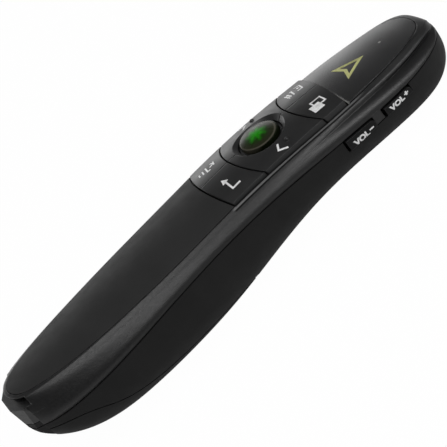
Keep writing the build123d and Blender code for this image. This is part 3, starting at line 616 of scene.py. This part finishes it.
def add_stroke(bm, points, width):
    """A line of constant width through plan points, mitred at its corners."""
    half = width / 2
    left, right = [], []
    for i, (x, y) in enumerate(points):
        before = Vector(points[i]) - Vector(points[i - 1]) if i else None
        after = Vector(points[i + 1]) - Vector(points[i]) if i + 1 < len(points) else None
        d1 = (before or after).normalized()
        d2 = (after or before).normalized()
        mean = (d1 + d2).normalized()
        side = Vector((-mean.y, mean.x)) * half / max(SHARPEST_MITRE, mean.dot(d1))
        left.append((x + side.x, y + side.y))
        right.append((x - side.x, y - side.y))
    for i in range(len(points) - 1):
        add_outline(bm, [left[i], left[i + 1], right[i + 1], right[i]])


def mark(node, strokes, fills=(), width=0.5, ink=WHITE_INK):
    """A mark on a node, from lines and filled shapes in plan."""
    bm = bmesh.new()
    for points in strokes:
        add_stroke(bm, points, width)
    for points in fills:
        add_outline(bm, points)
    refine(bm)
    lay_on(bm, node, DOWN, node + "_mark", ink)


# Enter arrow: tip towards the middle of the key, tail turned back.
mark("enter_key",
     strokes=[[(3.9, -4.8), (3.85, -8.3), (6.3, -8.25)]],
     fills=[[(3.5, -3.7), (4.85, -5.2), (2.9, -5.55)]])
# Chevron pointing back, for the previous slide; its twin on the far key points on.
mark("previous_key", strokes=[[(18.9, -7.8), (17.8, -9.5), (19.9, -10.6)]])
mark("next_key", strokes=[[(17.9, 7.8), (19.2, 9.5), (17.2, 10.4)]])
# A filled window in front of an open one: change the front window.
mark("window_switch_key",
     strokes=[[(32.1, -4.6), (35.0, -4.6), (35.2, -6.75), (32.3, -6.75), (32.1, -4.6),
               (35.0, -4.6)]],
     fills=[[(30.7, -5.8), (33.7, -5.75), (33.95, -8.15), (30.85, -8.2)]],
     width=0.42)
# A framed screen, a stroke and a shaded square: blank the screen.
mark("blank_screen_key",
     strokes=[[(34.2, 6.9), (35.6, 6.2), (35.3, 3.6), (33.9, 3.9)],
              [(34.4, 5.7), (34.9, 4.9)], [(34.9, 5.6), (34.4, 5.0)],
              [(33.0, 6.4), (32.6, 3.4)], [(32.6, 6.4), (33.3, 6.3)],
              [(31.5, 6.2), (31.8, 3.6)], [(30.9, 6.3), (31.1, 3.2)],
              [(31.9, 5.7), (30.6, 5.5)], [(31.9, 4.4), (30.7, 4.2)]],
     width=0.4)
# An arrow against a bar, with two lines behind: tab.
mark("tab_key",
     strokes=[[(6.6, 5.9), (6.1, 4.0)], [(5.7, 6.1), (6.3, 4.9), (4.9, 4.4)],
              [(4.1, 6.1), (3.7, 3.4), (4.6, 3.3)], [(2.9, 5.8), (2.6, 3.8)],
              [(1.7, 5.5), (1.5, 4.2)]],
     width=0.42)
# Generic pointer on the nose window: an open arrowhead towards the laser end.
mark("nose_window",
     strokes=[[(44.4, 3.2), (50.5, 0.0), (44.4, -3.2), (45.6, 0.0), (44.4, 3.2), (50.5, 0.0)]],
     width=0.95, ink=YELLOW_INK)

SPOT_RADIUS = 0.36
SPOT_CORNERS = 16


def lamp_dot():
    """Small frosted spot on the nose window, over the indicator lamp."""
    low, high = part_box("indicator_led")
    centre = (low + high) / 2
    turns = [2 * math.pi * i / SPOT_CORNERS for i in range(SPOT_CORNERS)]
    bm = bmesh.new()
    add_outline(bm, [(centre.x / MM + SPOT_RADIUS * math.cos(a),
                      centre.y / MM + SPOT_RADIUS * math.sin(a)) for a in turns])
    refine(bm)
    lay_on(bm, "nose_window", DOWN, "indicator_spot", SPOT_INK)


lamp_dot()

LEGEND_SIDE = -16.0                   # a legend is drawn flat at this y, then pushed onto its key
LEGEND_BOLD = 0.055                   # in letter sizes
LEGEND_SPACE = 0.6                    # share of a plain space between the word and its sign
SIGN_FROM = 0.78                      # the sign takes the rest of the length
SIGN_RAISE = 0.18


def text_mesh(name, text):
    """Flat mesh of a line of text, one letter size high."""
    curve = bpy.data.curves.new(name, "FONT")
    curve.body = text
    curve.resolution_u = 4
    curve.offset = LEGEND_BOLD
    curve.space_word = LEGEND_SPACE
    holder = bpy.data.objects.new(name, curve)
    bpy.context.scene.collection.objects.link(holder)
    bpy.context.view_layer.update()
    evaluated = holder.evaluated_get(bpy.context.evaluated_depsgraph_get())
    flat = bpy.data.meshes.new_from_object(evaluated)
    bpy.data.objects.remove(holder)
    return flat


def legend(node, text, left, right, base, height, lean):
    """Side key legend, read from the right side; its sign stands a little higher."""
    bm = bmesh.new()
    bm.from_mesh(text_mesh(node + "_text", text))
    start = min(v.co.x for v in bm.verts)
    length = max(v.co.x for v in bm.verts) - start
    cap = max(v.co.y for v in bm.verts)
    for v in bm.verts:
        along = (v.co.x - start) / length * (right - left)
        up = v.co.y / cap * height
        if v.co.x - start > SIGN_FROM * length:
            up += SIGN_RAISE
        v.co = Vector((left + along, LEGEND_SIDE, base + up - along * lean)) * MM
    refine(bm)
    lay_on(bm, node, INWARD, node + "_legend", WHITE_INK)


legend("volume_down_key", "VOL −", left=31.5, right=37.9, base=12.0, height=1.75, lean=0.09)
legend("volume_up_key", "VOL +", left=43.7, right=50.1, base=11.4, height=1.5, lean=0.065)


# ---------------------------------------------------------------- floor and backdrop
FLOOR_COLOUR = (0.8, 0.8, 0.8, 1.0)
FLOOR_HALF = 4.0                      # metres
FLOOR_SEEN = 0.985                    # share of plain white in what the camera sees of the floor
FLOOR_MIRRORED = 0.2                  # and in what glossy and clear surfaces see of it
WHITE = (1.0, 1.0, 1.0, 1.0)

ROOM_LEVEL = 0.16                     # light from all round
WALL_LEVEL = 2.9                      # the lit white wall behind the object
# The wall by direction: it begins towards +Y, and ends about 20 degrees up and to the nose side.
WALL_BACK = (0.1, 0.5)
WALL_TOP = (0.26, 0.38)
WALL_END = (0.35, 0.7)


def ray_test(tree, *kinds):
    """1 for any of these Light Path rays."""
    path = add(tree, "ShaderNodeLightPath")
    total = path.outputs[kinds[0]]
    for kind in kinds[1:]:
        total = maths(tree, "MAXIMUM", total, path.outputs[kind])
    return total


def floor():
    """Pale floor that takes the object's shadow and is nearly plain white to the camera."""
    mat, tree, shader = new_material("floor_white")
    shader.inputs["Base Color"].default_value = FLOOR_COLOUR
    shader.inputs["Roughness"].default_value = 0.8
    shader.inputs["Specular IOR Level"].default_value = 0.1
    glow = add(tree, "ShaderNodeEmission", Strength=1.0)
    mix = add(tree, "ShaderNodeMixShader")
    seen = maths(tree, "MULTIPLY", ray_test(tree, "Is Camera Ray"), FLOOR_SEEN)
    mirrored = maths(tree, "MULTIPLY", ray_test(tree, "Is Glossy Ray", "Is Transmission Ray"),
                     FLOOR_MIRRORED)
    link(tree, maths(tree, "MAXIMUM", seen, mirrored), mix.inputs["Fac"])
    link(tree, shader.outputs["BSDF"], mix.inputs[1])
    link(tree, glow.outputs["Emission"], mix.inputs[2])
    link(tree, mix.outputs["Shader"], tree.nodes["Material Output"].inputs["Surface"])
    mesh = bpy.data.meshes.new("floor")
    corners = [(x * FLOOR_HALF, y * FLOOR_HALF, 0) for x, y in ((-1, -1), (1, -1), (1, 1), (-1, 1))]
    mesh.from_pydata(corners, [], [(0, 1, 2, 3)])
    mesh.materials.append(mat)
    obj = bpy.data.objects.new("floor", mesh)
    bpy.context.scene.collection.objects.link(obj)


def studio():
    """White to the camera; to the object, a dim room with a lit wall behind it."""
    world = bpy.data.worlds.new("studio")
    bpy.context.scene.world = world
    world.use_nodes = True
    tree = world.node_tree
    background = tree.nodes["Background"]
    background.inputs["Color"].default_value = WHITE
    x, y, z = xyz(tree, add(tree, "ShaderNodeTexCoord").outputs["Generated"])
    wall = maths(tree, "MULTIPLY", rise(tree, y, WALL_BACK), fall(tree, x, WALL_END))
    wall = maths(tree, "MULTIPLY", wall, fall(tree, z, WALL_TOP))
    level = remap(tree, wall, 0.0, 1.0, ROOM_LEVEL, WALL_LEVEL)
    plain = ray_test(tree, "Is Camera Ray", "Is Transmission Ray")
    dim = maths(tree, "MULTIPLY", level, maths(tree, "SUBTRACT", 1.0, plain))
    link(tree, maths(tree, "ADD", dim, plain), background.inputs["Strength"])


floor()
studio()


# ---------------------------------------------------------------- lamps, in metres
LIGHT_TARGET = Vector((0.0, 0.0, 0.02))
SOFT_LIGHTS = (                       # name, place, width and height, radiance of the face
    ("high_softbox", (-0.10, -0.20, 0.84), (0.5, 0.3), 5.7),
    ("front_softbox", (0.42, -0.50, 0.60), (0.42, 0.3), 7.0),
    ("nose_softbox", (0.60, -0.46, 0.27), (0.35, 0.25), 3.0),
)


def soft_light(name, place, size, level):
    """A soft box turned to the object; it never shows itself."""
    lamp = bpy.data.lights.new(name, "AREA")
    lamp.shape = "RECTANGLE"
    lamp.size, lamp.size_y = size
    lamp.energy = level * math.pi * size[0] * size[1]
    obj = bpy.data.objects.new(name, lamp)
    obj.location = place
    obj.rotation_mode = "QUATERNION"
    obj.rotation_quaternion = (LIGHT_TARGET - Vector(place)).to_track_quat("-Z", "Y")
    obj.visible_camera = False
    bpy.context.scene.collection.objects.link(obj)


for lamp_values in SOFT_LIGHTS:
    soft_light(*lamp_values)


# ---------------------------------------------------------------- camera
CAMERA_PLACE = Vector((-36.620, -267.824, 191.068)) * MM
RIGHT = Vector((0.68329, -0.46138, -0.56590))
DOWNWARD = Vector((-0.72244, -0.31491, -0.61556))
FORWARD = Vector((0.10580, 0.82944, -0.54849))
FOCAL_LENGTH = 106.29
SENSOR_WIDTH = 36.0
NEAR_CLIP, FAR_CLIP = 0.01, 20.0      # metres

lens = bpy.data.cameras.new("camera")
lens.sensor_width = SENSOR_WIDTH
lens.lens = FOCAL_LENGTH
lens.clip_start, lens.clip_end = NEAR_CLIP, FAR_CLIP
camera = bpy.data.objects.new("camera", lens)
axes = Matrix((RIGHT, -DOWNWARD, -FORWARD)).transposed().to_4x4()
camera.matrix_world = Matrix.Translation(CAMERA_PLACE) @ axes
bpy.context.scene.collection.objects.link(camera)
bpy.context.scene.camera = camera
bpy.context.scene.view_settings.view_transform = "Standard"
